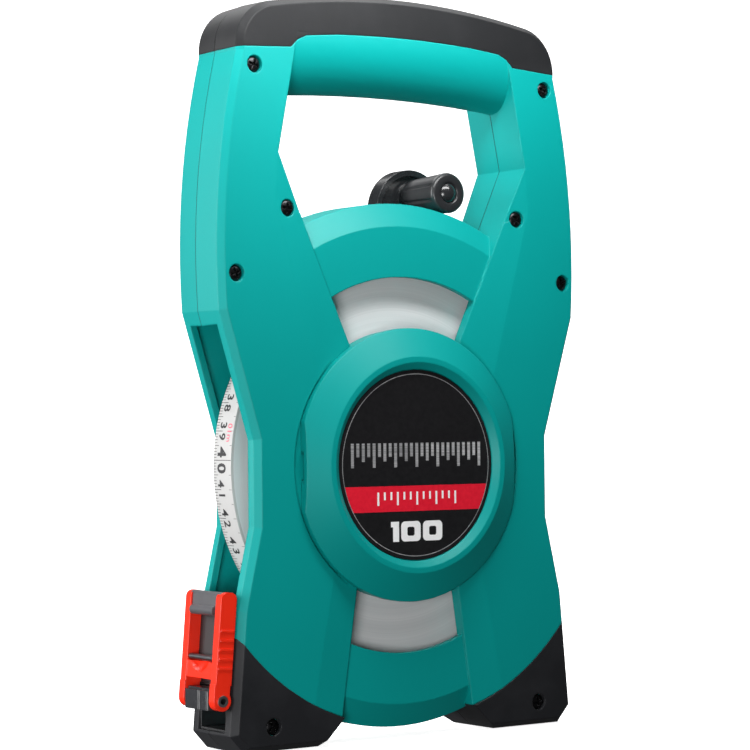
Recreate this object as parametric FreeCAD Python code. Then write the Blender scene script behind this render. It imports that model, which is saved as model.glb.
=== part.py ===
import FreeCAD, Part
import os
from math import acos, atan2, cos, degrees, hypot, pi, radians, sin, sqrt

V = FreeCAD.Vector
os.makedirs("parts", exist_ok=True)

# Surveyor's open-frame tape reel, millimetres.
# Origin: reel axis at the middle of the tape's width. +Z up, front is -Y, +X to the right.

# Frame outline, right half; the left half mirrors it
HALF_DEPTH = 14.0       # front face at -Y, rear face at +Y
SEAM_Y = 1.0            # where the two half shells meet
EDGE_IN = 2.0           # outer edge chamfer, measured in the face
EDGE_BACK = 2.3         # outer edge chamfer, measured in depth
DRAFT = 0.026           # how much the side walls widen per millimetre towards the seam
FLOOR_Z = -95.6
FOOT_OUT_X = 73.9
FOOT_CORNER = (68.4, 6.0)     # where the sole starts, and how high its corner rises
LEG_KNEE = (70.2, -48.0)
WAIST_X = 63.7
WAIST_LOW_Z = -20.0
WAIST_TOP_Z = 9.5
SHOULDER = (77.0, 53.0)
UPRIGHT_MID = (76.2, 102.0)
UPRIGHT_TOP = (69.4, 141.0)
CROWN_EDGE = (56.0, 158.6)
CROWN_TOP_Z = 163.6

# Openings in the frame
OPENING_TOP_X = 45.6
OPENING_KINK = (54.0, 107.0)
ARM_INNER = (27.8, 51.0)        # where the upper arm's inner edge meets the hub
LEG_INNER = (22.3, -44.5)       # where the leg's inner edge meets the hub
LEG_INNER_LOW = (28.5, -86.5)
FOOT_SLANT = (35.1, -92.9)
SOLE_INNER_X = 38.3

# Walls
WALL = 2.5
OVERMOULD = 2.0
CORE_UNDER_OVERMOULD = 3.8
CAVITY_HALF = 8.5               # half the width of the reel space
DRUM_IN_R = 89.7
DRUM_OUT_R = 92.2
COVER_FACE = 11.7               # half depth of the set-back drum covers
COVER_BEVEL_R = 83.9
COVER_RIM = 7.2
WINDOW_R = 66.0
FOOT_BOUNDARY_R = 91.0
HUB_DISC_R = 47.4
FACET_SLOPE = 0.115             # how steeply the facets along the arms fall away

# Handle bar
HANDLE_CENTRE_Z = 148.9         # the bar is flush with the uprights above this height
HANDLE_LOW_Z = 130.2
HANDLE_ARCH_R = 560.0
HANDLE_ARCH_DEG = 5.5

# Screws: x, z, and the depth of the face they sit in
SCREWS = [(63.3, 136.2), (50.1, 88.2), (71.2, 65.5), (57.8, -87.3)]
SCREW_HEAD_R = 2.8
SCREW_RECESS_R = 3.0
SCREW_RECESS = 1.9
SCREW_SHANK_R = 1.5
BOSS_R = 4.2

# Hub cap and label
CAP_R = 47.9
CAP_FLAT_X = 45.3
CAP_BASE_Y = 12.9
CAP_EDGE_Y = 15.6
CAP_CREST_R = 37.4
CAP_CREST_Y = 20.6
LABEL_R = 33.2
LABEL_Y = 18.5
CAP_RECESS_R = 48.5
CAP_RECESS = 0.9

# Reel and tape
TAPE_W = 11.0
TAPE_T = 0.5
COIL_R = 68.7
CORE_R = 34.0
FLANGE_R = 44.0
FLANGE_T = 1.2
SHAFT_R = 4.0
RUN = 0.05                      # radial clearance of a running fit

# Crank: folded up beside the handle opening, knob pointing forward
CRANK_ANGLE = 14.9              # from straight up towards +X
CRANK_FRONT_Y = 16.5
CRANK_BACK_Y = 22.7
KNOB_RADIUS = 100.9             # reel axis to knob axis
KNOB_R = 7.3
KNOB_TIP_Y = -5.0
ARM_TIP_R = 15.2
ARM_TIP_BELOW = 5.4             # arm's tip circle sits this far below the knob axis
ARM_ROOT_HALF = 9.5
FOLD_RADIUS = 16.0              # reel axis to the fold pin
FOLD_PIN_R = 1.5
NECK_R = 12.0

# Tape mouth and end hook, on the left foot
PIVOT = (-76.4, -77.6)          # hook pivot, x and z
HOOK_TILT = 4.9                 # stowed hook leans this far from upright towards the reel
HOOK_HALF_W = 11.3
HOOK_LONG = 36.3
HOOK_HALF_D = 3.05
EAR_R = 3.35
RAIL = 3.4
RIB_PITCH = 3.13
RIVET_R = 1.45
CLAMP_HALF_W = 7.2
CLAMP_SPLIT_Y = -2.0            # slot between the clamp's two blocks
MOUTH_HALF_W = 8.4
THROAT_BACK_X = -62.8
MOUTH_Z = (-88.6, -72.6)


# ---------------------------------------------------------------- helpers
def save(name, shape):
    shape.exportStep("parts/" + name + ".step")


def face_of(points):
    """Closed flat face from (x, z) points, in the plane Y = 0."""
    loop = [V(x, 0, z) for x, z in points]
    return Part.Face(Part.makePolygon(loop + [loop[0]]))


def slab(points, y0, y1):
    """The polygon of (x, z) points, from y0 to y1."""
    low, high = min(y0, y1), max(y0, y1)
    face = face_of(points)
    face.translate(V(0, low, 0))
    return face.extrude(V(0, high - low, 0))


def disc(radius, y0, y1, x=0.0, z=0.0):
    """Cylinder along Y between y0 and y1."""
    low, high = min(y0, y1), max(y0, y1)
    return Part.makeCylinder(radius, high - low, V(x, low, z), V(0, 1, 0))


def ring(outer, inner, y0, y1, x=0.0, z=0.0):
    return disc(outer, y0, y1, x, z).cut(disc(inner, min(y0, y1) - 1, max(y0, y1) + 1, x, z))


def box(x0, x1, y0, y1, z0, z1):
    return Part.makeBox(x1 - x0, y1 - y0, z1 - z0, V(x0, y0, z0))


def spun(points, x=0.0, z=0.0):
    """Solid of revolution about the Y direction from (radius, y) points."""
    loop = [V(r, y, 0) for r, y in points]
    face = Part.Face(Part.makePolygon(loop + [loop[0]]))
    body = face.revolve(V(0, 0, 0), V(0, 1, 0), 360)
    body.translate(V(x, 0, z))
    return body


def both_sides(points):
    """Right-hand (x, z) points followed by their mirror images, as one loop."""
    return points + [(-x, z) for x, z in reversed(points)]


def mirrored(shape):
    """The same shape turned front to back across Y = 0."""
    return shape.mirror(V(0, 0, 0), V(0, 1, 0))


def fuse_all(shapes):
    return shapes[0].multiFuse(shapes[1:]).removeSplitter() if len(shapes) > 1 else shapes[0]


def group(shapes):
    return Part.makeCompound(shapes)


# ---------------------------------------------------------------- frame outline
def outline_wire():
    """Outer outline of the frame: straight legs and waist, bowed uprights, arched crown."""
    foot_x, foot_rise = FOOT_CORNER
    right = [V(foot_x, 0, FLOOR_Z), V(FOOT_OUT_X, 0, FLOOR_Z + foot_rise), V(LEG_KNEE[0], 0, LEG_KNEE[1]),
             V(WAIST_X, 0, WAIST_LOW_Z), V(WAIST_X, 0, WAIST_TOP_Z), V(SHOULDER[0], 0, SHOULDER[1])]
    mid = V(UPRIGHT_MID[0], 0, UPRIGHT_MID[1])
    top = V(UPRIGHT_TOP[0], 0, UPRIGHT_TOP[1])
    crown = V(CROWN_EDGE[0], 0, CROWN_EDGE[1])
    corner = V(66.4, 0, 152.2)

    def flip(p):
        return V(-p.x, 0, p.z)

    edges = [Part.makeLine(flip(right[0]), right[0])]
    for a, b in zip(right, right[1:]):
        edges.append(Part.makeLine(a, b))
    edges.append(Part.Arc(right[-1], mid, top).toShape())
    edges.append(Part.Arc(top, corner, crown).toShape())
    edges.append(Part.Arc(crown, V(0, 0, CROWN_TOP_Z), flip(crown)).toShape())
    edges.append(Part.Arc(flip(crown), flip(corner), flip(top)).toShape())
    edges.append(Part.Arc(flip(top), flip(mid), flip(right[-1])).toShape())
    for a, b in zip(reversed(right), list(reversed(right))[1:]):
        edges.append(Part.makeLine(flip(a), flip(b)))
    return Part.Wire(edges)


def inset_wire(inset):
    wire = outline_wire()
    if inset == 0:
        return wire
    return Part.Face(wire).makeOffset2D(-inset, 2, False, False, False).OuterWire


def chamfered_block(inset):
    """The whole outline as a block, front edge chamfered, from the front face to the seam."""
    front_y = -(HALF_DEPTH - inset)
    land_y = front_y + EDGE_BACK
    wide = inset_wire(inset)
    narrow = inset_wire(inset + EDGE_IN)
    wide.translate(V(0, land_y, 0))
    narrow.translate(V(0, front_y, 0))
    bevel = Part.makeLoft([narrow, wide], True, True)
    deep_y = SEAM_Y + 3
    widest = inset_wire(inset - (deep_y - land_y) * DRAFT)
    widest.translate(V(0, deep_y, 0))
    block = Part.makeLoft([wide, widest], True, True).fuse(bevel)
    return block.common(box(-100, 100, -60, 60, FLOOR_Z + inset, 200))


def opening_points(grow):
    """Handle opening and the V between the upper arms, enlarged by grow."""
    return both_sides([(ARM_INNER[0] - 25.0 + grow, ARM_INNER[1] - 54.5),
                       (OPENING_KINK[0] + grow, OPENING_KINK[1]),
                       (OPENING_TOP_X + grow, HANDLE_CENTRE_Z)])


def notch_points(grow):
    """The gap between the legs, enlarged by grow."""
    return both_sides([(SOLE_INNER_X + grow, FLOOR_Z - 5), (SOLE_INNER_X + grow, FLOOR_Z),
                       (FOOT_SLANT[0] + grow, FOOT_SLANT[1] + grow / 2),
                       (LEG_INNER_LOW[0] + grow, LEG_INNER_LOW[1]),
                       (LEG_INNER[0] + grow, LEG_INNER[1]), (15.0 + grow, 5.0)])


def handle_bar(inset):
    """Underside of the grip bar: half an ellipse in section, swept along a gentle arch."""
    deep = HALF_DEPTH - inset
    high = HANDLE_CENTRE_Z - HANDLE_LOW_Z - inset
    ellipse = Part.Ellipse(V(0, 0, HANDLE_CENTRE_Z), high, deep)
    ellipse.Axis = V(1, 0, 0)
    if abs(ellipse.XAxis.z) < 0.5:
        ellipse.rotate(FreeCAD.Placement(V(0, 0, HANDLE_CENTRE_Z), V(1, 0, 0), 90))
    section = Part.Face(Part.Wire(ellipse.toShape()))
    pivot = V(0, 0, HANDLE_CENTRE_Z - HANDLE_ARCH_R)
    section.rotate(pivot, V(0, 1, 0), -HANDLE_ARCH_DEG)
    bar = section.revolve(pivot, V(0, 1, 0), 2 * HANDLE_ARCH_DEG)
    return bar.common(box(-90, 90, -30, SEAM_Y + 3, 100, HANDLE_CENTRE_Z))


def frame_solid(inset):
    """Front half of the frame with every face moved in by inset, before it is hollowed."""
    block = chamfered_block(inset)
    far = HALF_DEPTH + 6
    block = block.cut(slab(opening_points(inset), -far, far))
    block = block.cut(slab(notch_points(inset), -far, far))
    hub = disc(HUB_DISC_R - inset, -(HALF_DEPTH - inset), SEAM_Y + 3)
    return block.fuse([handle_bar(inset), hub])


def grip_zone(y_far):
    """Space above the soft grip's lower edge: level at the uprights, stepping up along the handle."""
    right = [(90, 180), (90, 140.6), (48.5, 143.2), (45.6, 146.0), (42.0, 147.6), (29.3, 148.9)]
    arch = [V(29.3, 0, 148.9), V(0, 0, 149.8), V(-29.3, 0, 148.9)]
    edges = []
    for a, b in zip(right, right[1:]):
        edges.append(Part.makeLine(V(a[0], 0, a[1]), V(b[0], 0, b[1])))
    edges.append(Part.Arc(*arch).toShape())
    left = [(-x, z) for x, z in reversed(right)]
    for a, b in zip(left, left[1:]):
        edges.append(Part.makeLine(V(a[0], 0, a[1]), V(b[0], 0, b[1])))
    edges.append(Part.makeLine(V(-90, 0, 180), V(90, 0, 180)))
    face = Part.Face(Part.Wire(edges))
    face.translate(V(0, -y_far, 0))
    return face.extrude(V(0, 2 * y_far, 0))


def foot_zone(boundary_r, y_far):
    """Space outside the circle of the drum, below the axis."""
    return box(-90, 90, -y_far, y_far, -110, -40).cut(disc(boundary_r, -y_far - 1, y_far + 1))


def facet_cut(high_a, high_b, corners, side):
    """Wedge over a facet: zero deep on the line high_a to high_b, deeper with distance from it."""
    ax, az = high_a
    length = hypot(high_b[0] - ax, high_b[1] - az)
    nx, nz = (high_b[1] - az) / length, -(high_b[0] - ax) / length

    def point(x, z, y_extra):
        drop = FACET_SLOPE * abs((x - ax) * nx + (z - az) * nz)
        return V(side * x, -HALF_DEPTH + (drop if y_extra == 0 else y_extra), z)

    near = [point(x, z, -4) for x, z in corners]
    far = [point(x, z, 0) for x, z in corners]
    faces = [Part.Face(Part.makePolygon(near + near[:1])), Part.Face(Part.makePolygon(far + far[:1]))]
    for i in range(len(corners)):
        j = (i + 1) % len(corners)
        faces.append(Part.Face(Part.makePolygon([near[i], near[j], far[j], far[i], near[i]])))
    solid = Part.Solid(Part.Shell(faces))
    return solid if solid.Volume > 0 else solid.reversed()


def facet_cuts():
    """Shallow sloping facets along the inner edges of the arms and legs; they end under the hub cap."""
    crest_top, crest_low = (55.3, 91.0), (36.7, 25.0)
    leg_high, leg_low = (30.1, -25.0), (41.6, -84.5)
    cuts = []
    for side in (1, -1):
        cuts.append(facet_cut(crest_top, crest_low,
                              [crest_top, crest_low, (14.0, 25.0), (43.0, 86.0)], side))
        cuts.append(facet_cut(crest_top, OPENING_KINK, [crest_top, (43.0, 86.0), OPENING_KINK], side))
        cuts.append(facet_cut(leg_high, leg_low, [leg_high, leg_low, (28.7, -90.0), (18.0, -25.0)], side))
    return cuts


def drum_cover():
    """Set-back covers above and below the hub, with their bevelled rims, clipped between the arms."""
    inner_bevel = COVER_BEVEL_R - 1.0
    profile = [(WINDOW_R, -COVER_FACE + WALL), (WINDOW_R, -COVER_FACE), (COVER_BEVEL_R, -COVER_FACE),
               (DRUM_OUT_R, -COVER_RIM), (DRUM_OUT_R, SEAM_Y + 3), (DRUM_IN_R, SEAM_Y + 3),
               (DRUM_IN_R, -COVER_RIM + 1.4), (inner_bevel, -COVER_FACE + WALL)]
    cover = spun(profile)
    upper = slab(opening_points(0.5), -20, 20).common(box(-90, 90, -20, 20, 30, 110))
    lower = slab(notch_points(0.5), -20, 20).common(box(-90, 90, -20, 20, -110, -30))
    return cover.common(upper.fuse(lower))


def screw_places():
    return [(side * x, z) for x, z in SCREWS for side in (-1, 1)]


def half_parts():
    """Shell, grip and the two feet of the front half, before the fittings of either side."""
    outer = frame_solid(0.0)
    under = frame_solid(OVERMOULD)
    low_core = frame_solid(WALL)
    high_core = frame_solid(CORE_UNDER_OVERMOULD)
    far = HALF_DEPTH + 8
    grip_space = grip_zone(far)
    foot_space = foot_zone(FOOT_BOUNDARY_R, far)
    skin = outer.cut(under)
    grip = skin.common(grip_space)
    feet = skin.common(foot_space).cut(drum_cover())

    lifted = grip_zone(far)
    lifted.translate(V(0, 0, -OVERMOULD))
    wide_zones = lifted.fuse(foot_zone(FOOT_BOUNDARY_R - OVERMOULD, far))
    shell = outer.cut(grip_space.fuse(foot_space)).fuse(under)
    shell = shell.cut(low_core.cut(wide_zones))
    shell = shell.cut(high_core.common(wide_zones))
    shell = shell.cut(disc(DRUM_IN_R, -CAVITY_HALF, far))
    wall = ring(DRUM_OUT_R, DRUM_IN_R, -HALF_DEPTH + 2.2, SEAM_Y + 3)
    wall = wall.common(under)
    shell = shell.fuse([wall, drum_cover()])
    shell = shell.cut(facet_cuts()[0].fuse(facet_cuts()[1:]))
    return shell, grip, feet


def fitted_shell(shell, seam):
    """Adds screw bosses and the bearing boss, cuts the screw recesses and trims at the seam."""
    bosses = []
    for x, z in screw_places():
        bosses.append(disc(BOSS_R, -HALF_DEPTH + 2.6, seam, x, z))
    bosses.append(disc(16.5, -HALF_DEPTH + 1, -CAVITY_HALF + 0.3))
    shell = shell.fuse(bosses)
    return shell


def trim_at(shape, seam):
    return shape.common(box(-100, 100, -60, seam, -120, 190))


def tape_line(distance):
    """Point (x, z) on the tape's straight run, measured from the pivot towards the coil."""
    reach = hypot(*PIVOT)
    angle = atan2(PIVOT[1], PIVOT[0]) + acos(COIL_R / reach)
    tx, tz = COIL_R * cos(angle), COIL_R * sin(angle)
    run = sqrt(reach ** 2 - COIL_R ** 2)
    return (PIVOT[0] + (tx - PIVOT[0]) * distance / run, PIVOT[1] + (tz - PIVOT[1]) * distance / run)


def along_tape(start, end, over, under, half_w):
    """Block that follows the straight tape run from start to end, with heights over and under it."""
    a, b = tape_line(start), tape_line(end)
    length = hypot(b[0] - a[0], b[1] - a[1])
    block = box(0, length, -half_w, half_w, -under, over)
    block.rotate(V(0, 0, 0), V(0, 1, 0), -degrees(atan2(b[1] - a[1], b[0] - a[0])))
    block.translate(V(a[0], 0, a[1]))
    return block


def mouth_cut():
    """Opening in the left foot's side and the passage of the tape through the foot."""
    mouth = box(-90, THROAT_BACK_X - 0.5, -MOUTH_HALF_W, MOUTH_HALF_W, MOUTH_Z[0], MOUTH_Z[1])
    return mouth.fuse(along_tape(4.0, 46.0, 2.2, 3.0, TAPE_W / 2 + 1.2))


def hook_nest():
    """Shallow bay in the side of the left leg and foot that the stowed hook lies in."""
    half = HOOK_HALF_W + 0.6
    bay = box(-30, HOOK_HALF_D + 0.4, -half, half, -3.0, HOOK_LONG + 1.5)
    bay = bay.fuse(disc(EAR_R + 0.6, -half, half))
    return at_pivot(bay)


# ---------------------------------------------------------------- frame pieces
def make_frame():
    shell, grip, feet = half_parts()
    far_cut = mouth_cut().fuse(hook_nest())
    pieces = {}
    for name, seam in (("front", SEAM_Y), ("rear", -SEAM_Y)):
        body = trim_at(fitted_shell(shell, seam), seam)
        cuts = [far_cut]
        for x, z in screw_places():
            cuts.append(disc(SCREW_SHANK_R + 0.15, -HALF_DEPTH - 3, seam + 1, x, z))
            if name == "front":
                cuts.append(disc(SCREW_RECESS_R, -HALF_DEPTH - 3, -HALF_DEPTH + SCREW_RECESS, x, z))
        if name == "front":
            cuts.append(ring(CAP_RECESS_R, 20.0, -HALF_DEPTH - 1, -HALF_DEPTH + CAP_RECESS))
            cuts.append(disc(8.0, -HALF_DEPTH - 3, 0))
        else:
            cuts.append(disc(NECK_R + 2.6, -HALF_DEPTH - 3, 0))
        body = body.cut(cuts[0].fuse(cuts[1:]))
        soft = trim_at(grip, seam)
        pads = trim_at(feet, seam)
        for x, z in screw_places():
            bore = disc(SCREW_RECESS_R, -HALF_DEPTH - 3, seam - 2, x, z)
            if name == "front":
                soft = soft.cut(bore)
                pads = pads.cut(bore)
        pads = pads.cut(far_cut)
        left = pads.common(box(-100, 0, -60, 60, -120, 0))
        right = pads.common(box(0, 100, -60, 60, -120, 0))
        for part, shape in (("shell", body), ("grip", soft), ("left_foot", left), ("right_foot", right)):
            pieces[name + "_" + part] = shape if name == "front" else mirrored(shape)
    return pieces


def make_hub_cap():
    """Bevelled ring with two flats, dished in the middle for the label."""
    profile = [(30.0, -CAP_BASE_Y - 3.2), (30.0, -LABEL_Y + 1.0), (LABEL_R + 0.3, -LABEL_Y + 1.0),
               (LABEL_R + 0.3, -LABEL_Y - 0.2), (CAP_CREST_R - 1.6, -CAP_CREST_Y),
               (CAP_CREST_R + 0.4, -CAP_CREST_Y), (CAP_R, -CAP_EDGE_Y), (CAP_R, -CAP_BASE_Y - 0.3),
               (CAP_R - 2.4, -CAP_BASE_Y - 0.3), (CAP_R - 2.4, -CAP_EDGE_Y + 0.9),
               (CAP_CREST_R - 1.0, -CAP_CREST_Y + 3.0), (32.0, -CAP_BASE_Y - 3.2)]
    cap = spun(profile)
    plate = disc(31.0, -LABEL_Y + 1.0, -LABEL_Y + 3.0)
    keep = box(-CAP_FLAT_X, CAP_FLAT_X, -30, 0, -60, 60)
    snaps = []
    for k in range(4):
        a = radians(45 + 90 * k)
        snaps.append(disc(2.2, -CAP_BASE_Y - 0.2, -LABEL_Y + 2.0, 27 * cos(a), 27 * sin(a)))
    return cap.common(keep).fuse([plate] + snaps).removeSplitter()


def make_label():
    return disc(LABEL_R, -LABEL_Y, -LABEL_Y + 0.9)


def make_screws():
    """Eight cross-head screws through the front shell into the rear bosses."""
    screws = []
    for x, z in screw_places():
        face_y = -HALF_DEPTH + 0.35
        head = disc(SCREW_HEAD_R, face_y, -HALF_DEPTH + SCREW_RECESS, x, z)
        crown = Part.makeSphere(5.8, V(x, face_y + 5.4, z))
        head = head.common(crown)
        shank = disc(SCREW_SHANK_R, -HALF_DEPTH + SCREW_RECESS - 0.2, 9.0, x, z)
        cross = box(x - 1.5, x + 1.5, -HALF_DEPTH - 1, face_y + 0.8, z - 0.32, z + 0.32)
        cross = cross.fuse(box(x - 0.32, x + 0.32, -HALF_DEPTH - 1, face_y + 0.8, z - 1.5, z + 1.5))
        screws.append(head.fuse(shank).cut(cross))
    return group(screws)


def make_front_bush():
    bush = ring(8.0, SHAFT_R + RUN, -12.5, -7.6)
    return bush.fuse(ring(10.5, SHAFT_R + RUN, -CAVITY_HALF + 0.3, -7.6))


def make_rear_bush():
    bush = ring(NECK_R + 2.6, NECK_R + RUN, 7.6, HALF_DEPTH + 0.2)
    return bush.fuse(ring(NECK_R + 4.6, NECK_R + RUN, 7.6, CAVITY_HALF - 0.3))


def make_mouth_liner():
    """Black throat that guides the tape from the reel space to the mouth: a four-sided tube."""
    half, low, high = MOUTH_HALF_W - 0.1, MOUTH_Z[0] + 0.1, MOUTH_Z[1] - 0.1
    outer = box(-73.0, THROAT_BACK_X, -half, half, low, high)
    inner = box(-75.0, THROAT_BACK_X + 2, -half + 0.7, half - 0.7, low + 0.7, high - 0.7)
    return outer.cut(inner).cut(hook_nest())


# ---------------------------------------------------------------- reel
def make_reel_hub():
    half = TAPE_W / 2 + 0.35
    core = ring(CORE_R, CORE_R - 3.0, -half, half)
    web = ring(CORE_R - 2.0, SHAFT_R + RUN, -1.5, 1.5)
    boss = ring(9.0, SHAFT_R + RUN, -half - FLANGE_T, half + FLANGE_T)
    flanges = [ring(FLANGE_R, CORE_R - 3.0, side * half, side * (half + FLANGE_T)) for side in (-1, 1)]
    ribs = []
    for k in range(6):
        rib = box(8.0, CORE_R - 2.0, -half, half, -1.2, 1.2)
        rib.rotate(V(0, 0, 0), V(0, 1, 0), 60 * k)
        ribs.append(rib)
    anchor = disc(1.3, -half - 2, half + 2, CORE_R - 1.4, 0)
    hub = fuse_all([core, web, boss] + flanges + ribs)
    return hub.cut(anchor)


def make_anchor_pin():
    return disc(1.2, -TAPE_W / 2 - 1.0, TAPE_W / 2 + 1.0, CORE_R - 1.4, 0)


def make_tape_coil():
    return ring(COIL_R - 2 * TAPE_T, CORE_R + 0.05, -TAPE_W / 2, TAPE_W / 2)


def make_outer_turn():
    return ring(COIL_R, COIL_R - 2 * TAPE_T + 0.02, -TAPE_W / 2, TAPE_W / 2)


# ---------------------------------------------------------------- crank
def turned(shape):
    """Turns a crank piece from straight up to its stowed angle."""
    shape.rotate(V(0, 0, 0), V(0, 1, 0), CRANK_ANGLE)
    return shape


def make_shaft():
    shaft = disc(SHAFT_R, -12.6, 12.0)
    return shaft.cut(disc(1.6, -13, -3.0))


def make_shaft_screw():
    head = disc(3.6, -15.2, -13.1)
    shank = disc(1.55, -13.1, -4.0)
    cross = box(-2.0, 2.0, -16, -14.2, -0.4, 0.4).fuse(box(-0.4, 0.4, -16, -14.2, -2.0, 2.0))
    return head.fuse(shank).cut(cross)


def make_shaft_washer():
    return ring(6.4, 1.65, -13.1, -12.6).common(disc(7, -13.1, -12.6))


def make_crank_hub():
    """Boss in the rear bearing, with two ears that hold the arm's fold pin."""
    neck = disc(NECK_R, 7.3, 14.6)
    plate = disc(21.0, 14.6, 16.2)
    ears = []
    for side in (-1, 1):
        middle = side * (ARM_ROOT_HALF + 2.3)
        ear = box(middle - 2.0, middle + 2.0, 16.0, 19.6, FOLD_RADIUS - 4, FOLD_RADIUS + 4)
        knuckle = Part.makeCylinder(4.0, 4.0, V(middle - 2.0, 19.6, FOLD_RADIUS), V(1, 0, 0))
        ears.append(ear.fuse(knuckle))
    hub = fuse_all([neck, plate] + ears)
    hub = hub.cut(disc(SHAFT_R, 6.0, 12.0))
    hub = hub.cut(Part.makeCylinder(FOLD_PIN_R, 60, V(-30, 19.6, FOLD_RADIUS), V(1, 0, 0)))
    return turned(hub)


def make_fold_pin():
    reach = ARM_ROOT_HALF + 4.3
    return turned(Part.makeCylinder(FOLD_PIN_R, 2 * reach, V(-reach, 19.6, FOLD_RADIUS), V(1, 0, 0)))


def make_crank_arm():
    """Flat dished arm, widening from the fold pin to a round tip."""
    tip_z = KNOB_RADIUS - ARM_TIP_BELOW
    mid_y = (CRANK_FRONT_Y + CRANK_BACK_Y) / 2
    deep = CRANK_BACK_Y - CRANK_FRONT_Y

    def plan(shrink):
        root, tip = ARM_ROOT_HALF - shrink, ARM_TIP_R - shrink
        low = FOLD_RADIUS + 2.0 + shrink
        lean = (tip - root) / (tip_z - low)
        start = V(-tip * cos(lean), 0, tip_z - tip * sin(lean))
        end = V(tip * cos(lean), 0, start.z)
        edges = [Part.makeLine(V(root, 0, low), V(-root, 0, low)), Part.makeLine(V(-root, 0, low), start),
                 Part.Arc(start, V(0, 0, tip_z + tip), end).toShape(), Part.makeLine(end, V(root, 0, low))]
        return Part.Face(Part.Wire(edges))

    body = plan(0.0)
    body.translate(V(0, CRANK_FRONT_Y, 0))
    body = body.extrude(V(0, deep, 0))
    dish = plan(2.2)
    dish.translate(V(0, CRANK_FRONT_Y - 1, 0))
    dish = dish.extrude(V(0, 2.8, 0))
    post = disc(5.6, CRANK_FRONT_Y, CRANK_FRONT_Y + 3, 0, KNOB_RADIUS)
    body = body.cut(dish).fuse(post)
    root = V(-ARM_ROOT_HALF, mid_y, FOLD_RADIUS)
    knuckle = Part.makeCylinder(deep / 2, 2 * ARM_ROOT_HALF, root, V(1, 0, 0))
    root_block = box(-ARM_ROOT_HALF, ARM_ROOT_HALF, CRANK_FRONT_Y, CRANK_BACK_Y,
                     FOLD_RADIUS, FOLD_RADIUS + 6)
    body = body.fuse([knuckle, root_block]).removeSplitter()
    body = body.cut(Part.makeCylinder(FOLD_PIN_R + RUN, 60, V(-30, mid_y, FOLD_RADIUS), V(1, 0, 0)))
    body = body.cut(disc(2.0, CRANK_FRONT_Y - 5, CRANK_BACK_Y + 5, 0, KNOB_RADIUS))
    return turned(body)


def make_knob_axle():
    """Rivet through the arm; its domed head sits in the knob's tip."""
    shank = disc(2.0, KNOB_TIP_Y + 1.6, CRANK_BACK_Y + 0.2, 0, KNOB_RADIUS)
    tail = disc(3.4, CRANK_BACK_Y, CRANK_BACK_Y + 0.9, 0, KNOB_RADIUS)
    dome = Part.makeSphere(4.6, V(0, KNOB_TIP_Y + 3.4, KNOB_RADIUS))
    dome = dome.common(disc(3.5, KNOB_TIP_Y - 3, KNOB_TIP_Y + 2.2, 0, KNOB_RADIUS))
    return turned(fuse_all([shank, tail, dome]))


def make_knob():
    """Fluted grip that spins on the axle."""
    knob = disc(KNOB_R, KNOB_TIP_Y, CRANK_FRONT_Y - 0.4, 0, KNOB_RADIUS)
    rim = [e for e in knob.Edges if abs(e.BoundBox.YMax - KNOB_TIP_Y) < 0.01 and e.BoundBox.YLength < 0.01]
    knob = knob.makeChamfer(0.9, rim)
    flutes = []
    for k in range(10):
        a = 2 * pi * k / 10
        flutes.append(disc(0.8, KNOB_TIP_Y + 3.0, CRANK_FRONT_Y - 2.4, (KNOB_R + 0.25) * cos(a),
                           KNOB_RADIUS + (KNOB_R + 0.25) * sin(a)))
    bores = disc(2.0 + RUN, KNOB_TIP_Y - 1, CRANK_FRONT_Y + 1, 0, KNOB_RADIUS)
    seat = disc(3.6, KNOB_TIP_Y - 1, KNOB_TIP_Y + 2.3, 0, KNOB_RADIUS)
    return turned(knob.cut(bores.fuse([seat] + flutes)))


# ---------------------------------------------------------------- tape end and hook
def at_pivot(shape):
    """Places a hook piece drawn upright about the origin at the pivot, leaning as it is stowed."""
    shape.rotate(V(0, 0, 0), V(0, 1, 0), HOOK_TILT)
    shape.translate(V(PIVOT[0], 0, PIVOT[1]))
    return shape


def make_tape_leader():
    """Straight run of tape from the clamp to just short of the coil."""
    run = sqrt(hypot(*PIVOT) ** 2 - COIL_R ** 2)
    return along_tape(2.2, run - 8.0, -0.3, 0.3 + TAPE_T, TAPE_W / 2)


def make_tape_clamp():
    """Two black blocks that close on the end of the tape, with an upright slot between them."""
    blocks = []
    for y0, y1 in ((-CLAMP_HALF_W, CLAMP_SPLIT_Y - 0.12), (CLAMP_SPLIT_Y + 0.12, CLAMP_HALF_W)):
        block = box(-3.6, 3.3, y0, y1, -3.2, 4.0)
        upright = [e for e in block.Edges if e.BoundBox.ZLength > 5 and e.BoundBox.XMax < 0]
        block = block.makeFillet(0.8, upright)
        lip = box(-5.0, -2.0, y0 - 1, y1 + 1, 3.3, 5.0)
        blocks.append(block.cut(lip))
    clamp = group(blocks)
    clamp.translate(V(PIVOT[0], 0, PIVOT[1]))
    clamp = clamp.cut(disc(RIVET_R, -12, 12, PIVOT[0], PIVOT[1]))
    return clamp.cut(along_tape(2.1, 10.0, -0.28, 0.32 + TAPE_T, TAPE_W / 2 + 0.02))


def make_hook_rivet():
    """Hollow rivet through the fork and the clamp, rolled over at both ends."""
    rivet = ring(RIVET_R, 1.05, -HOOK_HALF_W - 0.2, HOOK_HALF_W + 0.2, PIVOT[0], PIVOT[1])
    flares = []
    for side in (-1, 1):
        inner, outer = side * (HOOK_HALF_W + 0.02), side * (HOOK_HALF_W + 0.4)
        flares.append(ring(1.95, 1.05, inner, outer, PIVOT[0], PIVOT[1]))
    return fuse_all([rivet] + flares)


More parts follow.
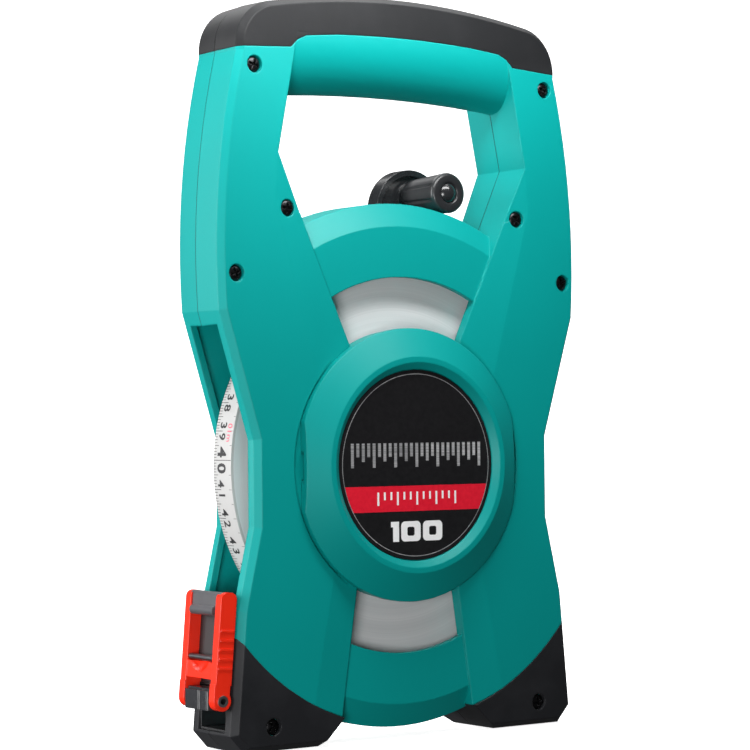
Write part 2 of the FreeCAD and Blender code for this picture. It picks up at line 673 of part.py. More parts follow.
def hook_rail(side):
    """One side rail with its rounded top, its ribs and the ear about the pivot."""
    y0, y1 = sorted((side * (HOOK_HALF_W - RAIL), side * HOOK_HALF_W))
    round_r = 2.4
    rail = box(-HOOK_HALF_D, HOOK_HALF_D, y0, y1, 5.2, HOOK_LONG)
    top = [e for e in rail.Edges if e.BoundBox.ZMin > HOOK_LONG - 0.01 and e.BoundBox.YLength > 1]
    rail = rail.makeFillet(round_r, top)
    ear = disc(EAR_R, y0, y1).fuse(box(-EAR_R, EAR_R - 0.7, y0, y1, 0, 5.6))
    ribs = []
    for k in range(5):
        z = 10.8 + RIB_PITCH * k
        r0, r1 = sorted((side * (HOOK_HALF_W - 0.5), side * (HOOK_HALF_W + 0.3)))
        ribs.append(box(-HOOK_HALF_D + 0.5, HOOK_HALF_D - 0.2, r0, r1, z - 0.4, z + 0.4))
    return fuse_all([rail, ear] + ribs)


def make_hook_body():
    """Red moulding: two rails, a cross bar with a thumb scoop, and the fork ears."""
    bar = box(-HOOK_HALF_D + 0.2, HOOK_HALF_D, -HOOK_HALF_W + 1, HOOK_HALF_W - 1, 7.0, 12.6)
    scoop = Part.makeSphere(6.6, V(-HOOK_HALF_D - 2.6, 0, 15.0))
    bar = bar.cut(scoop)
    body = fuse_all([hook_rail(-1), hook_rail(1), bar])
    body = body.cut(disc(RIVET_R + RUN, -20, 20))
    pins = disc(1.0, -HOOK_HALF_W + 1.0, HOOK_HALF_W - 1.0, -1.6, 13.9)
    half = HOOK_HALF_W - 1.6
    seat = box(-HOOK_HALF_D + 0.6, HOOK_HALF_D - 0.6, -half, half, 30.8, HOOK_LONG + 1)
    return at_pivot(body.cut(pins).cut(seat))


def make_hook_bar():
    """Dark plate across the top, with its lower edge curled into a lip on the outside."""
    half = HOOK_HALF_W - 1.65
    plate = box(-HOOK_HALF_D + 0.65, HOOK_HALF_D - 0.65, -half, half, 30.9, HOOK_LONG - 0.1)
    top = [e for e in plate.Edges if e.BoundBox.ZMin > HOOK_LONG - 0.2 and e.BoundBox.YLength > 1]
    plate = plate.makeFillet(1.6, top)
    lip_half = HOOK_HALF_W - RAIL - 0.1
    lip = Part.makeCylinder(1.7, 2 * lip_half - 1.4, V(-1.9, -lip_half + 1.4, 29.8), V(0, 1, 0))
    return at_pivot(plate.fuse(lip))


def make_hook_plate():
    """Dark backing plate between the rails."""
    half = HOOK_HALF_W - RAIL - 0.05
    return at_pivot(box(1.4, 2.6, -half, half, 12.7, 30.8))


def make_cross_pin():
    return at_pivot(disc(0.98, -HOOK_HALF_W + 1.0, HOOK_HALF_W - 1.0, -1.6, 13.9))


# ---------------------------------------------------------------- all pieces
def main():
    for name, shape in make_frame().items():
        save(name, shape)
    makers = {
        "hub_cap": make_hub_cap, "label_disc": make_label, "frame_screws": make_screws,
        "front_bush": make_front_bush, "rear_bush": make_rear_bush, "mouth_liner": make_mouth_liner,
        "reel_hub": make_reel_hub, "tape_anchor_pin": make_anchor_pin, "tape_coil": make_tape_coil,
        "tape_outer_turn": make_outer_turn, "shaft": make_shaft, "shaft_screw": make_shaft_screw,
        "shaft_washer": make_shaft_washer, "crank_hub": make_crank_hub, "crank_fold_pin": make_fold_pin,
        "crank_arm": make_crank_arm, "knob_axle": make_knob_axle, "crank_knob": make_knob,
        "tape_leader": make_tape_leader, "tape_clamp": make_tape_clamp, "hook_rivet": make_hook_rivet,
        "hook_body": make_hook_body, "hook_bar": make_hook_bar, "hook_plate": make_hook_plate,
        "hook_cross_pin": make_cross_pin,
    }
    for name, maker in makers.items():
        save(name, maker())


main()
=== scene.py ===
import math

import bpy
from bpy.props import FloatProperty, FloatVectorProperty, IntProperty, PointerProperty
from mathutils import Matrix, Vector


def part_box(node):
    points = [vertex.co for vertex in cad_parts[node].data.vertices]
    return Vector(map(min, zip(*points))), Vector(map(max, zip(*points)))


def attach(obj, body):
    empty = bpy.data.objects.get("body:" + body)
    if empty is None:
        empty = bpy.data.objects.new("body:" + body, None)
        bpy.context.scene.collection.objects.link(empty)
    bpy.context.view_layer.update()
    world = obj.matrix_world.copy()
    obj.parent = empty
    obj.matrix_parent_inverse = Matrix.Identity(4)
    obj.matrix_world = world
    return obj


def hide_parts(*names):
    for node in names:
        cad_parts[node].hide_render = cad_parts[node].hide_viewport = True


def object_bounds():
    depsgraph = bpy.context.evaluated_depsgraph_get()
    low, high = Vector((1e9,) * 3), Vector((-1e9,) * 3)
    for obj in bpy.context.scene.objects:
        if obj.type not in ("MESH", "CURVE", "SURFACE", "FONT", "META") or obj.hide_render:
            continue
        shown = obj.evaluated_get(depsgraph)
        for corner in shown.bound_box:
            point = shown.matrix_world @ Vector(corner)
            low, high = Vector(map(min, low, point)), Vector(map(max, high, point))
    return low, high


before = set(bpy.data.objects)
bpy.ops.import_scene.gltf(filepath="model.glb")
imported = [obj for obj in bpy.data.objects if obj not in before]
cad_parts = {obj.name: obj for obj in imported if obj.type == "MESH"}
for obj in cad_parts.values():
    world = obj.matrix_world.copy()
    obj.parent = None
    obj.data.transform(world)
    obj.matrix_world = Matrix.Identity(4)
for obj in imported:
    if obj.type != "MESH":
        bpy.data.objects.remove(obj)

bl_info = {
    "name": "Tape Reel Finisher",
    "version": (1, 0, 0),
    "blender": (4, 5, 0),
    "location": "3D View > Sidebar > Tape Reel",
    "description": "Finishes an open-frame measuring tape reel: mouldings, printed tape, label, crank, hook",
    "category": "Object",
}

MM = 0.001
SEAM_Y = 1.0 * MM       # the half shells, grips and feet meet here
LABEL_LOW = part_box("label_disc")[0]
TURN_LOW, TURN_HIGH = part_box("tape_outer_turn")
KNOB_LOW, KNOB_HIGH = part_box("crank_knob")
SCREW_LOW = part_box("frame_screws")[0]
CAD_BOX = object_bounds()


# ---------------------------------------------------------------- colours and small helpers
def from_hex(code):
    """Linear colour of an sRGB hex value such as #1AA39B."""
    out = []
    for start in (1, 3, 5):
        share = int(code[start:start + 2], 16) / 255
        out.append(share / 12.92 if share <= 0.04045 else ((share + 0.055) / 1.055) ** 2.4)
    return tuple(out)


def add(tree, kind, settings=None, values=None, links=None):
    """Adds one node: settings are its own properties, values its sockets' constants, links their sources."""
    made = tree.nodes.new(kind)
    for key, value in (settings or {}).items():
        setattr(made, key, value)
    for key, value in (values or {}).items():
        made.inputs[key].default_value = value
    for key, source in (links or {}).items():
        tree.links.new(source, made.inputs[key])
    return made


def new_surface(name, values):
    """Material with only a Principled shader on its output; values are constants on the shader's sockets."""
    material = bpy.data.materials.new(name)
    material.use_nodes = True
    tree = material.node_tree
    tree.nodes.clear()
    shader = add(tree, "ShaderNodeBsdfPrincipled", values=values)
    add(tree, "ShaderNodeOutputMaterial", links={"Surface": shader.outputs["BSDF"]})
    return material, tree, shader


def rounded(tree, radius_mm):
    """Normal that softens a moulding's or casting's sharp edges to the radius its tool leaves."""
    return add(tree, "ShaderNodeBevel", {"samples": 6}, {"Radius": radius_mm * MM}).outputs["Normal"]


def parting_line(tree, across, seam_y):
    """Darkening at the joint between two half shells. A closed joint is about 0.1 mm wide; this one is drawn
    about 0.35 mm wide so that it shows."""
    off = add(tree, "ShaderNodeMath", {"operation": "SUBTRACT"}, {1: seam_y}, {0: across})
    gap = add(tree, "ShaderNodeMath", {"operation": "ABSOLUTE"}, links={0: off.outputs[0]})
    dark = add(tree, "ShaderNodeMapRange",
               values={"From Min": 0.14 * MM, "From Max": 0.22 * MM, "To Min": 0.2, "To Max": 1.0},
               links={"Value": gap.outputs[0]})
    return dark.outputs["Result"]


def dress(node, material):
    """Gives a frame node its finish."""
    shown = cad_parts[node]
    for place in shown.material_slots:
        place.material = material


def mesh_piece(name, points, faces, material, smooth=False):
    """New mesh object from points in metres and faces as index lists."""
    mesh = bpy.data.meshes.new(name)
    mesh.from_pydata([tuple(p) for p in points], [], faces)
    mesh.validate()
    mesh.update()
    mesh.materials.append(material)
    for face in mesh.polygons:
        face.use_smooth = smooth
    made = bpy.data.objects.new(name, mesh)
    bpy.context.scene.collection.objects.link(made)
    return made


def finish_piece(piece, body, slot_name, *stood_for):
    """Hangs a new piece on its body and hides the frame nodes that it stands for. slot_name is not used."""
    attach(piece, body)
    if stood_for:
        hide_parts(*stood_for)
    return piece


# ---------------------------------------------------------------- user sizes and colours
def colour_value(label, words, code):
    return FloatVectorProperty(name=label, description=words, subtype="COLOR", size=3, min=0.0, max=1.0,
                               default=from_hex(code))


def length_value(label, words, metres):
    return FloatProperty(name=label, description=words, subtype="DISTANCE", unit="LENGTH", default=metres,
                         precision=5)


class REEL_PG_colours(bpy.types.PropertyGroup):
    housing: colour_value("Housing", "Moulded housing, cap and drum covers", "#009692")
    grip: colour_value("Grip", "Soft cover over the handle", "#191A1C")
    feet: colour_value("Feet", "Rubber feet", "#1F2023")
    fitting: colour_value("Black fittings", "Crank, knob and hook bar", "#1D1E20")
    hook: colour_value("Hook", "Moulded end hook", "#FA2F16")
    tape: colour_value("Tape", "Lacquer of the tape", "#C2C2C1")
    ink: colour_value("Scale ink", "Numbers and ticks of the scale", "#222224")
    red_ink: colour_value("Red ink", "Metre marks", "#D8506A")
    label: colour_value("Label", "Printed ground of the round label", "#0C0B0E")
    band: colour_value("Label band", "Red band across the label", "#D90F2B")


class REEL_PG_sizes(bpy.types.PropertyGroup):
    tape_radius: length_value("Tape radius", "Outside of the last wound turn", TURN_HIGH.x)
    tape_width: length_value("Tape width", "Width of the tape", TURN_HIGH.y - TURN_LOW.y)
    digit_height: length_value("Digit height", "Height of the centimetre numbers", 3.9 * MM)
    label_ring: length_value("Label ring", "Radius of the label's fine silver ring", 31.8 * MM)
    knob_radius: length_value("Knob radius", "Radius of the winding knob at its widest, by the tip",
                              (KNOB_HIGH.x - KNOB_LOW.x) / 2)
    screw_radius: length_value("Screw head", "Radius of the housing screws' heads", 2.78 * MM)
    reading: IntProperty(name="Reading", description="Centimetre number at the tape's leftmost point",
                         default=40, min=1, max=99)


# ---------------------------------------------------------------- finishes
def moulded_abs(name, colour, seam_y=None):
    """ABS, injection moulded with a fine spark-eroded satin: even colour, soft highlights, 0.7 mm edges.
    seam_y draws the shadow line where two half shells close on each other."""
    material, tree, shader = new_surface(name, {"IOR": 1.54, "Specular IOR Level": 0.22})
    place = add(tree, "ShaderNodeTexCoord").outputs["Object"]
    # Flow of the melt: colour drifts by a few percent over about 60 mm.
    drift = add(tree, "ShaderNodeTexNoise", values={"Scale": 1 / 0.06, "Detail": 2.0},
                links={"Vector": place})
    shade = add(tree, "ShaderNodeMapRange",
                values={"From Min": 0.3, "From Max": 0.7, "To Min": 0.96, "To Max": 1.03},
                links={"Value": drift.outputs["Fac"]}).outputs["Result"]
    if seam_y is not None:
        across = add(tree, "ShaderNodeSeparateXYZ", links={"Vector": place}).outputs["Y"]
        shade = add(tree, "ShaderNodeMath", {"operation": "MULTIPLY"},
                    links={0: shade, 1: parting_line(tree, across, seam_y)}).outputs[0]
    tint = add(tree, "ShaderNodeVectorMath", {"operation": "SCALE"}, {0: colour}, {"Scale": shade})
    tree.links.new(tint.outputs["Vector"], shader.inputs["Base Color"])
    # Spark-eroded grain is about 0.15 mm; drawn at 0.5 mm so that it shows.
    grain = add(tree, "ShaderNodeTexNoise", values={"Scale": 1 / 0.0005, "Detail": 2.0, "Roughness": 0.6},
                links={"Vector": place})
    rub = add(tree, "ShaderNodeMapRange",
              values={"From Min": 0.3, "From Max": 0.7, "To Min": 0.4, "To Max": 0.48},
              links={"Value": grain.outputs["Fac"]})
    tree.links.new(rub.outputs["Result"], shader.inputs["Roughness"])
    bump = add(tree, "ShaderNodeBump", values={"Strength": 0.12, "Distance": 0.01 * MM},
               links={"Height": grain.outputs["Fac"], "Normal": rounded(tree, 0.7)})
    tree.links.new(bump.outputs["Normal"], shader.inputs["Normal"])
    return material


def overmoulded_rubber(name, colour, roughness, grain_mm, scuff):
    """Thermoplastic rubber moulded over the shell: dull, finely grained, with paler rubbed patches."""
    material, tree, shader = new_surface(name, {"IOR": 1.5, "Roughness": roughness,
                                                "Specular IOR Level": 0.26, "Sheen Weight": 0.03,
                                                "Sheen Roughness": 0.5})
    place = add(tree, "ShaderNodeTexCoord").outputs["Object"]
    patches = add(tree, "ShaderNodeTexNoise", values={"Scale": 1 / 0.02, "Detail": 4.0, "Roughness": 0.6},
                  links={"Vector": place})
    amount = add(tree, "ShaderNodeMapRange",
                 values={"From Min": 0.45, "From Max": 0.75, "To Min": 0.0, "To Max": scuff},
                 links={"Value": patches.outputs["Fac"]})
    worn = tuple(min(1.0, c * 2.2 + 0.01) for c in colour)
    tint = add(tree, "ShaderNodeMix", {"data_type": "RGBA"}, {"A": (*colour, 1), "B": (*worn, 1)},
               {"Factor": amount.outputs["Result"]})
    across = add(tree, "ShaderNodeSeparateXYZ", links={"Vector": place}).outputs["Y"]
    joint = parting_line(tree, across, SEAM_Y)
    lined = add(tree, "ShaderNodeVectorMath", {"operation": "SCALE"}, links={0: tint.outputs["Result"],
                                                                            "Scale": joint})
    tree.links.new(lined.outputs["Vector"], shader.inputs["Base Color"])
    groove = add(tree, "ShaderNodeBump", values={"Strength": 1.0, "Distance": 0.5 * MM},
                 links={"Height": joint, "Normal": rounded(tree, 0.8)})
    grain = add(tree, "ShaderNodeTexVoronoi", values={"Scale": 1 / (grain_mm * MM)}, links={"Vector": place})
    bump = add(tree, "ShaderNodeBump", values={"Strength": 0.25, "Distance": 0.03 * MM},
               links={"Height": grain.outputs["Distance"], "Normal": groove.outputs["Normal"]})
    tree.links.new(bump.outputs["Normal"], shader.inputs["Normal"])
    return material


def moulded_nylon(name, colour, roughness=0.36, edge_mm=0.35):
    """Glass-filled nylon, injection moulded: near black with a soft sheen and faint streaks from the flow."""
    material, tree, shader = new_surface(name, {"IOR": 1.53, "Roughness": roughness})
    place = add(tree, "ShaderNodeTexCoord").outputs["Object"]
    streak = add(tree, "ShaderNodeTexNoise", values={"Scale": 1 / 0.004, "Detail": 3.0, "Distortion": 0.6},
                 links={"Vector": place})
    light = tuple(min(1.0, c * 1.35 + 0.002) for c in colour)
    tint = add(tree, "ShaderNodeMix", {"data_type": "RGBA"}, {"A": (*colour, 1), "B": (*light, 1)},
               {"Factor": streak.outputs["Fac"]})
    tree.links.new(tint.outputs["Result"], shader.inputs["Base Color"])
    grain = add(tree, "ShaderNodeTexNoise", values={"Scale": 1 / 0.0004, "Detail": 1.0},
                links={"Vector": place})
    bump = add(tree, "ShaderNodeBump", values={"Strength": 0.15, "Distance": 0.01 * MM},
               links={"Height": grain.outputs["Fac"], "Normal": rounded(tree, edge_mm)})
    tree.links.new(bump.outputs["Normal"], shader.inputs["Normal"])
    return material


def moulded_acetal(name, colour):
    """Acetal, injection moulded in a polished tool: dense bright colour, slightly waxy gloss."""
    material, tree, shader = new_surface(name, {"IOR": 1.48, "Roughness": 0.28, "Subsurface Weight": 0.04,
                                                "Subsurface Scale": 0.5 * MM, "Coat Weight": 0.15,
                                                "Coat Roughness": 0.15})
    place = add(tree, "ShaderNodeTexCoord").outputs["Object"]
    flow = add(tree, "ShaderNodeTexNoise", values={"Scale": 1 / 0.008, "Detail": 2.0},
               links={"Vector": place})
    deep = tuple(c * 0.9 for c in colour)
    tint = add(tree, "ShaderNodeMix", {"data_type": "RGBA"}, {"A": (*deep, 1), "B": (*colour, 1)},
               {"Factor": flow.outputs["Fac"]})
    tree.links.new(tint.outputs["Result"], shader.inputs["Base Color"])
    bump = add(tree, "ShaderNodeBump", values={"Strength": 0.1, "Distance": 0.02 * MM},
               links={"Height": flow.outputs["Fac"], "Normal": rounded(tree, 0.35)})
    tree.links.new(bump.outputs["Normal"], shader.inputs["Normal"])
    return material


def lacquered_tape(name, colour):
    """Steel strip, roller-coated with white polyester: smooth satin with a faint streak from the roller."""
    material, tree, shader = new_surface(name, {"IOR": 1.5, "Coat Weight": 0.2, "Coat Roughness": 0.15})
    place = add(tree, "ShaderNodeTexCoord").outputs["Object"]
    across = add(tree, "ShaderNodeMapping", values={"Scale": (30.0, 3000.0, 30.0)}, links={"Vector": place})
    roller = add(tree, "ShaderNodeTexNoise", values={"Scale": 1.0, "Detail": 2.0},
                 links={"Vector": across.outputs[0]})
    shade = add(tree, "ShaderNodeMapRange", values={"To Min": 0.95, "To Max": 1.02},
                links={"Value": roller.outputs["Fac"]})
    tint = add(tree, "ShaderNodeVectorMath", {"operation": "SCALE"}, {0: colour}, {"Scale": shade.outputs[0]})
    tree.links.new(tint.outputs["Vector"], shader.inputs["Base Color"])
    rub = add(tree, "ShaderNodeMapRange", values={"To Min": 0.3, "To Max": 0.42},
              links={"Value": roller.outputs["Fac"]})
    tree.links.new(rub.outputs["Result"], shader.inputs["Roughness"])
    return material


def wound_tape_edges(name):
    """Edges of many wound turns of steel tape: a fine record-like grain of rings with wide bow highlights.
    The grain's rings are about 0.45 mm apart, which is for show; no turn is modelled by itself."""
    material, tree, shader = new_surface(name, {"Metallic": 0.15, "Anisotropic": 0.6,
                                                "Anisotropic Rotation": 0.0})
    place = add(tree, "ShaderNodeTexCoord").outputs["Object"]
    flat = add(tree, "ShaderNodeVectorMath", {"operation": "MULTIPLY"}, {1: (1.0, 0.0, 1.0)}, {0: place})
    radius = add(tree, "ShaderNodeVectorMath", {"operation": "LENGTH"}, links={0: flat.outputs["Vector"]})
    turns = add(tree, "ShaderNodeTexNoise", {"noise_dimensions": "1D"}, {"Scale": 1 / 0.00045, "Detail": 3.0,
                                                                        "Roughness": 0.7},
                {"W": radius.outputs["Value"]})
    bands = add(tree, "ShaderNodeTexNoise", {"noise_dimensions": "1D"}, {"Scale": 1 / 0.004, "Detail": 2.0},
                {"W": radius.outputs["Value"]})
    mixed = add(tree, "ShaderNodeMath", {"operation": "MULTIPLY"}, links={0: turns.outputs["Fac"],
                                                                         1: bands.outputs["Fac"]})
    ramp = add(tree, "ShaderNodeMapRange",
               values={"From Min": 0.1, "From Max": 0.45, "To Min": 0.0, "To Max": 1.0},
               links={"Value": mixed.outputs[0]})
    tint = add(tree, "ShaderNodeMix", {"data_type": "RGBA"}, {"A": (*from_hex("#DDDEDF"), 1),
                                                              "B": (*from_hex("#E9E9EA"), 1)},
               {"Factor": ramp.outputs["Result"]})
    tree.links.new(tint.outputs["Result"], shader.inputs["Base Color"])
    rub = add(tree, "ShaderNodeMapRange", values={"To Min": 0.3, "To Max": 0.5},
              links={"Value": turns.outputs["Fac"]})
    tree.links.new(rub.outputs["Result"], shader.inputs["Roughness"])
    tangent = add(tree, "ShaderNodeTangent", {"direction_type": "RADIAL", "axis": "Y"})
    tree.links.new(tangent.outputs["Tangent"], shader.inputs["Tangent"])
    bump = add(tree, "ShaderNodeBump", values={"Strength": 0.12, "Distance": 0.02 * MM},
               links={"Height": turns.outputs["Fac"]})
    tree.links.new(bump.outputs["Normal"], shader.inputs["Normal"])
    return material


def ground_steel(name, tone, roughness):
    """Steel, turned or ground and zinc plated: bright, with short fine scratches."""
    material, tree, shader = new_surface(name, {"Metallic": 1.0})
    place = add(tree, "ShaderNodeTexCoord").outputs["Object"]
    across = add(tree, "ShaderNodeMapping", values={"Scale": (400.0, 4000.0, 400.0)}, links={"Vector": place})
    marks = add(tree, "ShaderNodeTexNoise", values={"Scale": 1.0, "Detail": 3.0},
                links={"Vector": across.outputs[0]})
    tone_low = tuple(c * 0.75 for c in tone)
    tint = add(tree, "ShaderNodeMix", {"data_type": "RGBA"}, {"A": (*tone_low, 1), "B": (*tone, 1)},
               {"Factor": marks.outputs["Fac"]})
    tree.links.new(tint.outputs["Result"], shader.inputs["Base Color"])
    rub = add(tree, "ShaderNodeMapRange", values={"To Min": roughness - 0.07, "To Max": roughness + 0.1},
              links={"Value": marks.outputs["Fac"]})
    tree.links.new(rub.outputs["Result"], shader.inputs["Roughness"])
    tree.links.new(rounded(tree, 0.12), shader.inputs["Normal"])
    return material


def printed_ink(name, colour, roughness=0.45):
    """Screen-printed ink: flat colour that thins a little towards its edges."""
    material, tree, shader = new_surface(name, {"IOR": 1.5, "Roughness": roughness})
    place = add(tree, "ShaderNodeTexCoord").outputs["Object"]
    thin = add(tree, "ShaderNodeTexNoise", values={"Scale": 1 / 0.0012, "Detail": 2.0},
               links={"Vector": place})
    pale = tuple(min(1.0, c * 1.25 + 0.012) for c in colour)
    tint = add(tree, "ShaderNodeMix", {"data_type": "RGBA"}, {"A": (*colour, 1), "B": (*pale, 1)},
               {"Factor": thin.outputs["Fac"]})
    tree.links.new(tint.outputs["Result"], shader.inputs["Base Color"])
    return material


def brushed_foil(name):
    """Hot-stamped silver foil with a brushed grain that runs along the label."""
    material, tree, shader = new_surface(name, {"Metallic": 0.55})
    place = add(tree, "ShaderNodeTexCoord").outputs["Object"]
    along = add(tree, "ShaderNodeMapping", values={"Scale": (60.0, 60.0, 2600.0)}, links={"Vector": place})
    grain = add(tree, "ShaderNodeTexNoise", values={"Scale": 1.0, "Detail": 3.0},
                links={"Vector": along.outputs[0]})
    glow = add(tree, "ShaderNodeTexNoise", values={"Scale": 1 / 0.018}, links={"Vector": place})
    both = add(tree, "ShaderNodeMath", {"operation": "MULTIPLY"}, links={0: grain.outputs["Fac"],
                                                                        1: glow.outputs["Fac"]})
    level = add(tree, "ShaderNodeMapRange", values={"From Min": 0.12, "From Max": 0.4},
                links={"Value": both.outputs[0]})
    tint = add(tree, "ShaderNodeMix", {"data_type": "RGBA"}, {"A": (*from_hex("#9A9A9E"), 1),
                                                              "B": (*from_hex("#F4F4F5"), 1)},
               {"Factor": level.outputs["Result"]})
    tree.links.new(tint.outputs["Result"], shader.inputs["Base Color"])
    rub = add(tree, "ShaderNodeMapRange", values={"To Min": 0.35, "To Max": 0.5},
              links={"Value": grain.outputs["Fac"]})
    tree.links.new(rub.outputs["Result"], shader.inputs["Roughness"])
    return material


def seamless_paper(name):
    """Matt white background paper with a barely visible fibre; it glows by itself, so it is evenly white."""
    material, tree, shader = new_surface(name, {"Roughness": 0.9, "Specular IOR Level": 0.1,
                                                "Emission Color": (*from_hex("#FFFFFF"), 1),
                                                "Emission Strength": 0.92})
    place = add(tree, "ShaderNodeTexCoord").outputs["Object"]
    fibre = add(tree, "ShaderNodeTexNoise", values={"Scale": 1 / 0.003, "Detail": 4.0},
                links={"Vector": place})
    tint = add(tree, "ShaderNodeMix", {"data_type": "RGBA"}, {"A": (*from_hex("#F1F1F1"), 1),
                                                              "B": (*from_hex("#F7F7F7"), 1)},
               {"Factor": fibre.outputs["Fac"]})
    tree.links.new(tint.outputs["Result"], shader.inputs["Base Color"])
    return material


# ---------------------------------------------------------------- printed scale
def glyph_shape(text, height, bold):
    """Points (reading direction, up) in metres and faces of a line of text, centred and on its baseline."""
    curve = bpy.data.curves.new("glyph", "FONT")
    curve.body = text
    curve.align_x = "CENTER"
    curve.offset = bold
    curve.resolution_u = 3
    holder = bpy.data.objects.new("glyph", curve)
    bpy.context.scene.collection.objects.link(holder)
    bpy.context.view_layer.update()
    mesh = bpy.data.meshes.new_from_object(holder.evaluated_get(bpy.context.evaluated_depsgraph_get()))
    top = max(v.co.y for v in mesh.vertices)
    low = min(v.co.y for v in mesh.vertices)
    scale = height / (top - low)
    points = [(v.co.x * scale, (v.co.y - low) * scale) for v in mesh.vertices]
    faces = [list(p.vertices) for p in mesh.polygons]
    bpy.data.objects.remove(holder)
    bpy.data.meshes.remove(mesh)
    bpy.data.curves.remove(curve)
    return points, faces


def on_turn(along, across, radius, start):
    """Point on the last turn: along is metres down the left side from the leftmost point, across is metres
    from the tape's rear edge towards its front edge."""
    angle = math.radians(start) - along / radius
    return Vector((-radius * math.cos(angle), TURN_HIGH.y - across, radius * math.sin(angle)))


class Sheet:
    """Flat print that is wrapped on the tape: collects points and faces of many marks."""

    def __init__(self, radius, start):
        self.radius = radius
        self.start = start
        self.points = []
        self.faces = []

    def mark(self, along, width, low, high):
        """A straight tick: its middle along the tape, its width, and how far across it starts and ends."""
        first = len(self.points)
        for a, c in ((-1, low), (1, low), (1, high), (-1, high)):
            self.points.append(on_turn(along + a * width / 2, c, self.radius, self.start))
        self.faces.append([first, first + 1, first + 2, first + 3])

    def text(self, along, across, shape):
        """A glyph line centred at along, with its baseline at across."""
        points, faces = shape
        first = len(self.points)
        for x, y in points:
            self.points.append(on_turn(along + x, across + y, self.radius, self.start))
        self.faces.extend([[first + i for i in face] for face in faces])


def printed_scale(sizes):
    """Ticks and numbers round the whole last turn, with the chosen reading at the leftmost point."""
    radius = sizes.tape_radius + 0.04 * MM
    reading = sizes.reading
    start = 2.17
    black, red = Sheet(radius, start), Sheet(radius, start)
    around = 2 * math.pi * radius
    cells = int(around / (10 * MM)) - 1
    width = sizes.tape_width
    small = sizes.digit_height
    large = 5.4 * MM
    for step in range(-5, 10 * cells - 5):
        along = (step - 10 * (cells // 2)) * MM
        place = step % 10
        if place == 0:
            reach, thick = 4.2 * MM, 0.22 * MM
        elif place == 5:
            reach, thick = 2.9 * MM, 0.2 * MM
        else:
            reach, thick = 1.8 * MM, 0.2 * MM
        black.mark(along, thick, 0.0, reach)
        if place in (0, 5):
            black.mark(along, 0.14 * MM, width - (1.9 if place == 0 else 1.3) * MM, width)
    for cell in range(cells):
        number = reading + cell - cells // 2
        if number <= 0:
            continue
        along = (number - reading) * 10 * MM
        digits = str(number)
        big = number % 10 == 0
        high, gap, bold = (large, 2.75 * MM, 0.03) if big else (small, 1.95 * MM, 0.02)
        middle = (len(digits) - 1) / 2
        for place, digit in enumerate(digits):
            black.text(along + (place - middle) * 2 * gap, 2.45 * MM, glyph_shape(digit, high, bold))
        if big:
            black.mark(along, 0.2 * MM, 0.0, width)
        if number % 10 == 9:
            red.text(along + 0.6 * MM, 7.3 * MM, glyph_shape("%02dm" % (number // 100 + 1), 2.6 * MM, 0.0))
    return black, red


# ---------------------------------------------------------------- label print
def flat_print(name, rectangles, depth, material):
    """Thin rectangles in the label's plane, each (x0, x1, z0, z1) in mm."""
    points, faces = [], []
    for x0, x1, z0, z1 in rectangles:
        first = len(points)
        for x, z in ((x0, z0), (x1, z0), (x1, z1), (x0, z1)):
            points.append((x * MM, depth, z * MM))
        faces.append([first, first + 1, first + 2, first + 3])
    return mesh_piece(name, points, faces, material)


def round_corner_loop(x0, x1, z0, z1, corner, steps=6):
    """Rounded rectangle outline in mm, anticlockwise."""
    loop = []
    for cx, cz, first in ((x1 - corner, z1 - corner, 0), (x0 + corner, z1 - corner, 90),
                          (x0 + corner, z0 + corner, 180), (x1 - corner, z0 + corner, 270)):
        for step in range(steps + 1):
            angle = math.radians(first + 90 * step / steps)
            loop.append((cx + corner * math.cos(angle), cz + corner * math.sin(angle)))
    return loop


def numeral_zero(points, faces, x0, x1, z0, z1, stroke, depth):
    """Wide zero: the band between two rounded rectangles."""
    outer = round_corner_loop(x0, x1, z0, z1, 1.6)
    inner = round_corner_loop(x0 + stroke, x1 - stroke, z0 + stroke * 0.72, z1 - stroke * 0.72, 0.7)
    first = len(points)
    for x, z in outer + inner:
        points.append((x * MM, depth, z * MM))
    count = len(outer)
    for k in range(count):
        after = (k + 1) % count
        faces.append([first + k, first + after, first + count + after, first + count + k])


def numeral_one(points, faces, x0, x1, z0, z1, stroke, depth):
    """Upright one with a short flag."""
    outline = [(x1 - stroke, z0), (x1, z0), (x1, z1), (x0, z1), (x0, z1 - 1.9), (x1 - stroke, z1 - 1.9)]
    first = len(points)
    for x, z in outline:
        points.append((x * MM, depth, z * MM))
    faces.append([first, first + 1, first + 2, first + 5])
    faces.append([first + 2, first + 3, first + 4, first + 5])


def ring_piece(name, radius, width, depth, material, steps=160):
    """Flat thin ring in the label's plane."""
    points, faces = [], []
    for k in range(steps):
        angle = 2 * math.pi * k / steps
        for r in (radius - width / 2, radius + width / 2):
            points.append((r * math.cos(angle), depth, r * math.sin(angle)))
    for k in range(steps):
        a, b = 2 * k, 2 * ((k + 1) % steps)
        faces.append([a, a + 1, b + 1, b])
    return mesh_piece(name, points, faces, material)


def band_piece(name, radius, low, high, depth, material, steps=40):
    """Band across a disc: straight above and below, ends on the circle."""
    points, faces = [], []
    for k in range(steps + 1):
        z = low + (high - low) * k / steps
        half = math.sqrt(radius ** 2 - z ** 2)
        points.extend([(-half, depth, z), (half, depth, z)])
    for k in range(steps):
        a = 2 * k
        faces.append([a, a + 1, a + 3, a + 2])
    return mesh_piece(name, points, faces, material)


